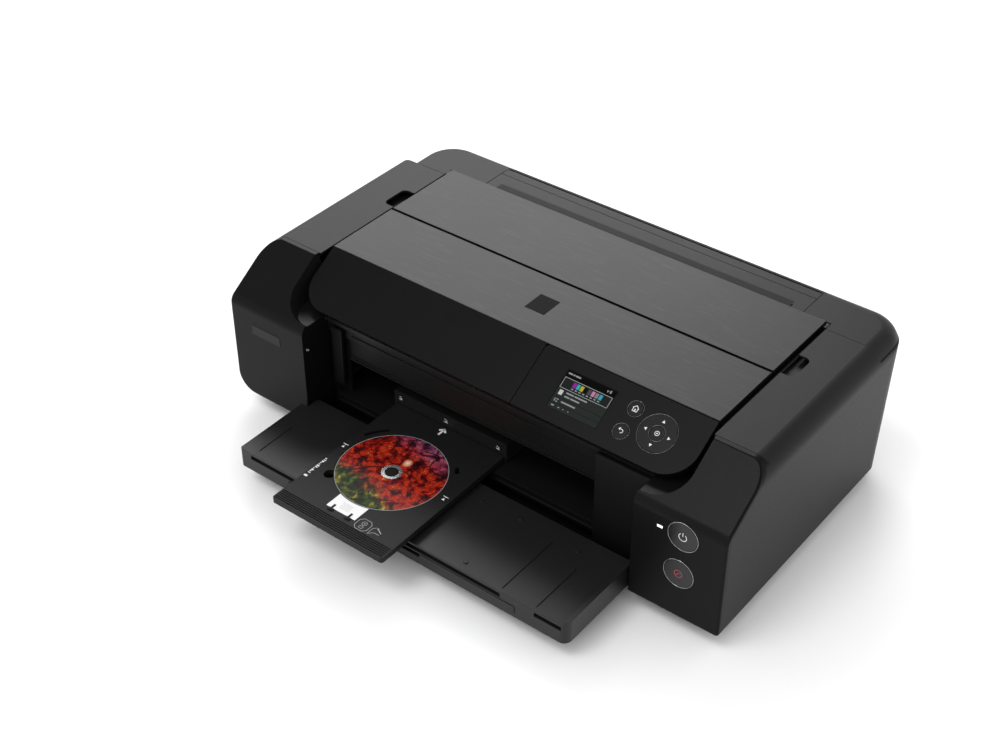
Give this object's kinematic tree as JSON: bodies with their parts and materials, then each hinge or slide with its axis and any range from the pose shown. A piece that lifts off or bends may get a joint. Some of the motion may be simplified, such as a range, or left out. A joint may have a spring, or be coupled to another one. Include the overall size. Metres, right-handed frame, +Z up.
{
  "type": "desktop photo printer with disc tray",
  "caption": "Wide desktop photo inkjet printer, output tray open, with a printable disc in its tray half way into the front.",
  "frame": {"origin": "on the table, under the middle of the sloping front cover and half way between the front face and the rear feed door", "axes": "+X to the right of someone facing the printer, +Y to the back, +Z up"},
  "size_m": [0.6425, 0.523, 0.1925],
  "materials": {
    "satin_black": "satin",
    "gloss_black": "gloss",
    "brushed_plate": "dark brushed",
    "matte_black": "fine texture",
    "foot_rubber": "matte",
    "screen_glass": "gloss",
    "key_black": "satin gloss",
    "lamp_lens": "frosted",
    "steel_sheet": "zinc plated",
    "steel_bar": "ground",
    "roller_rubber": "matte",
    "wheel_steel": "thin sheet",
    "gear_white": "moulded",
    "belt_rubber": "toothed",
    "motor_can": "plated can",
    "head_grey": "moulded",
    "tank_plastic": "gloss",
    "board_green": "lacquer",
    "supply_case": "moulded",
    "disc_print": "printed face"
  },
  "bodies": {
    "printer_body": {"base_pan": "matte_black", "carriage_motor": "motor_can", "carriage_rail": "steel_sheet", "display_screen": "screen_glass", "feed_motor": "motor_can", "front_cover": "gloss_black", "front_frame": "matte_black", "front_trim_plate": "brushed_plate", "guide_shaft": "steel_bar", "left_chassis_plate": "steel_sheet", "left_side_cover": "satin_black", "left_tower_cover": "satin_black", "main_board": "board_green", "maintenance_station": "matte_black", "operation_panel": "gloss_black", "panel_housing": "matte_black", "pinch_roller_holder": "matte_black", "platen": "matte_black", "power_led": "lamp_lens", "power_supply": "supply_case", "rear_feed_frame": "matte_black", "rear_panel": "matte_black", "rear_top_cover": "satin_black", "right_chassis_plate": "steel_sheet", "right_side_cover": "satin_black", "right_tower_cover": "satin_black", "rubber_feet": "foot_rubber", "screws": "steel_bar", "timing_belt": "belt_rubber", "upper_frame": "matte_black"},
    "top_cover": {"top_cover": "matte_black", "top_cover_trim_plate": "brushed_plate"},
    "output_tray": {"output_tray": "matte_black"},
    "output_tray_extension": {"output_tray_extension": "matte_black"},
    "disc_tray": {"disc_tray": "matte_black"},
    "disc": {"disc": "disc_print"},
    "disc_tray_guide": {"disc_tray_guide": "matte_black"},
    "paper_support": {"paper_support": "matte_black"},
    "paper_support_extension": {"paper_support_extension": "matte_black"},
    "left_paper_guide": {"left_paper_guide": "matte_black"},
    "right_paper_guide": {"right_paper_guide": "matte_black"},
    "manual_feed_tray": {"manual_feed_tray": "matte_black"},
    "home_button": {"home_button": "key_black"},
    "back_button": {"back_button": "key_black"},
    "ok_button": {"ok_button": "key_black"},
    "navigation_ring": {"navigation_ring": "key_black"},
    "power_button": {"power_button": "key_black"},
    "stop_button": {"stop_button": "key_black"},
    "carriage": {"carriage": "matte_black", "print_head": "head_grey", "ink_tanks": "tank_plastic"},
    "drive_pulley": {"drive_pulley": "gear_white"},
    "idler_pulley": {"idler_pulley": "gear_white"},
    "feed_roller": {"feed_roller": "roller_rubber"},
    "exit_roller": {"exit_roller": "roller_rubber"},
    "idler_gear": {"idler_gear": "gear_white"},
    "motor_pinion": {"motor_pinion": "gear_white"},
    "pinch_rollers": {"pinch_rollers": "roller_rubber"},
    "star_wheels": {"star_wheels": "wheel_steel"},
    "pickup_roller": {"pickup_roller": "roller_rubber"}
  },
  "joints": [
    {"name": "top_cover_hinge", "type": "hinge", "parent": "printer_body", "child": "top_cover", "pos_m": [0, 0.106, 0.1873], "axis": [-1, 0, 0], "range_deg": [0, 72]},
    {"name": "output_tray_hinge", "type": "hinge", "parent": "printer_body", "child": "output_tray", "pos_m": [0, -0.18, 0.0295], "axis": [1, 0, 0], "range_deg": [0, 4]},
    {"name": "output_tray_extension_slide", "type": "slide", "parent": "output_tray", "child": "output_tray_extension", "axis": [0, -1, 0], "range_m": [0, 0.085]},
    {"name": "disc_tray_slide", "type": "slide", "parent": "printer_body", "child": "disc_tray", "axis": [0, 1, 0], "range_m": [-0.165, 0.26]},
    {"name": "disc_lift", "type": "slide", "parent": "disc_tray", "child": "disc", "axis": [0, 0, -1], "range_m": [-0.03, 0]},
    {"name": "disc_tray_guide_hinge", "type": "hinge", "parent": "printer_body", "child": "disc_tray_guide", "pos_m": [-0.055, -0.1, 0.069], "axis": [-1, 0, 0], "range_deg": [0, 75]},
    {"name": "paper_support_slide", "type": "slide", "parent": "printer_body", "child": "paper_support", "axis": [0, 0.1392, 0.9903], "range_m": [0, 0.075]},
    {"name": "paper_support_extension_slide", "type": "slide", "parent": "paper_support", "child": "paper_support_extension", "axis": [0, 0.1392, 0.9903], "range_m": [0, 0.07]},
    {"name": "left_paper_guide_slide", "type": "slide", "parent": "printer_body", "child": "left_paper_guide", "axis": [1, 0, 0], "range_m": [0, 0.105]},
    {"name": "right_paper_guide_slide", "type": "slide", "parent": "printer_body", "child": "right_paper_guide", "axis": [1, 0, 0], "range_m": [-0.105, 0]},
    {"name": "manual_feed_tray_hinge", "type": "hinge", "parent": "printer_body", "child": "manual_feed_tray", "pos_m": [0, 0.1875, 0.033], "axis": [-1, 0, 0], "range_deg": [0, 55]},
    {"name": "power_button_press", "type": "slide", "parent": "printer_body", "child": "power_button", "axis": [0, 1, 0], "range_m": [0, 0.0008], "stiffness_N_per_m": 400, "springref_m": -0.002},
    {"name": "stop_button_press", "type": "slide", "parent": "printer_body", "child": "stop_button", "axis": [0, 1, 0], "range_m": [0, 0.0008], "stiffness_N_per_m": 400, "springref_m": -0.002},
    {"name": "home_button_press", "type": "slide", "parent": "printer_body", "child": "home_button", "axis": [0, 0.515, -0.8572], "range_m": [0, 0.0008], "stiffness_N_per_m": 400, "springref_m": -0.002},
    {"name": "back_button_press", "type": "slide", "parent": "printer_body", "child": "back_button", "axis": [0, 0.515, -0.8572], "range_m": [0, 0.0008], "stiffness_N_per_m": 400, "springref_m": -0.002},
    {"name": "ok_button_press", "type": "slide", "parent": "printer_body", "child": "ok_button", "axis": [0, 0.515, -0.8572], "range_m": [0, 0.0008], "stiffness_N_per_m": 400, "springref_m": -0.002},
    {"name": "navigation_ring_press", "type": "slide", "parent": "printer_body", "child": "navigation_ring", "axis": [0, 0.515, -0.8572], "range_m": [0, 0.0008], "stiffness_N_per_m": 400, "springref_m": -0.002},
    {"name": "carriage_slide", "type": "slide", "parent": "printer_body", "child": "carriage", "axis": [1, 0, 0], "range_m": [-0.42, 0]},
    {"name": "drive_pulley_turn", "type": "hinge", "parent": "printer_body", "child": "drive_pulley", "pos_m": [0.285, 0.059, 0.12], "axis": [0, 1, 0], "continuous": true},
    {"name": "idler_pulley_turn", "type": "hinge", "parent": "printer_body", "child": "idler_pulley", "pos_m": [-0.285, 0.059, 0.12], "axis": [0, 1, 0], "continuous": true},
    {"name": "feed_roller_turn", "type": "hinge", "parent": "printer_body", "child": "feed_roller", "pos_m": [0, 0.022, 0.04], "axis": [1, 0, 0], "continuous": true},
    {"name": "exit_roller_turn", "type": "hinge", "parent": "printer_body", "child": "exit_roller", "pos_m": [0, -0.076, 0.04], "axis": [1, 0, 0], "continuous": true},
    {"name": "idler_gear_turn", "type": "hinge", "parent": "printer_body", "child": "idler_gear", "pos_m": [-0.286, -0.027, 0.04], "axis": [1, 0, 0], "continuous": true},
    {"name": "motor_pinion_turn", "type": "hinge", "parent": "printer_body", "child": "motor_pinion", "pos_m": [-0.286, 0.055, 0.04], "axis": [1, 0, 0], "continuous": true},
    {"name": "pinch_rollers_turn", "type": "hinge", "parent": "printer_body", "child": "pinch_rollers", "pos_m": [0, 0.022, 0.0606], "axis": [1, 0, 0], "continuous": true},
    {"name": "star_wheels_turn", "type": "hinge", "parent": "printer_body", "child": "star_wheels", "pos_m": [0, -0.076, 0.0616], "axis": [1, 0, 0], "continuous": true},
    {"name": "pickup_roller_turn", "type": "hinge", "parent": "printer_body", "child": "pickup_roller", "pos_m": [0, 0.104, 0.092], "axis": [1, 0, 0], "continuous": true}
  ],
  "couplings": [
    {"joint": "exit_roller_turn", "follows": "feed_roller_turn", "ratio": 1},
    {"joint": "idler_gear_turn", "follows": "feed_roller_turn", "ratio": -0.96},
    {"joint": "motor_pinion_turn", "follows": "feed_roller_turn", "ratio": -2.6667},
    {"joint": "drive_pulley_turn", "follows": "carriage_slide", "rad_per_m": -101.01},
    {"joint": "idler_pulley_turn", "follows": "carriage_slide", "rad_per_m": -101.01},
    {"joint": "right_paper_guide_slide", "follows": "left_paper_guide_slide", "ratio": -1}
  ]
}
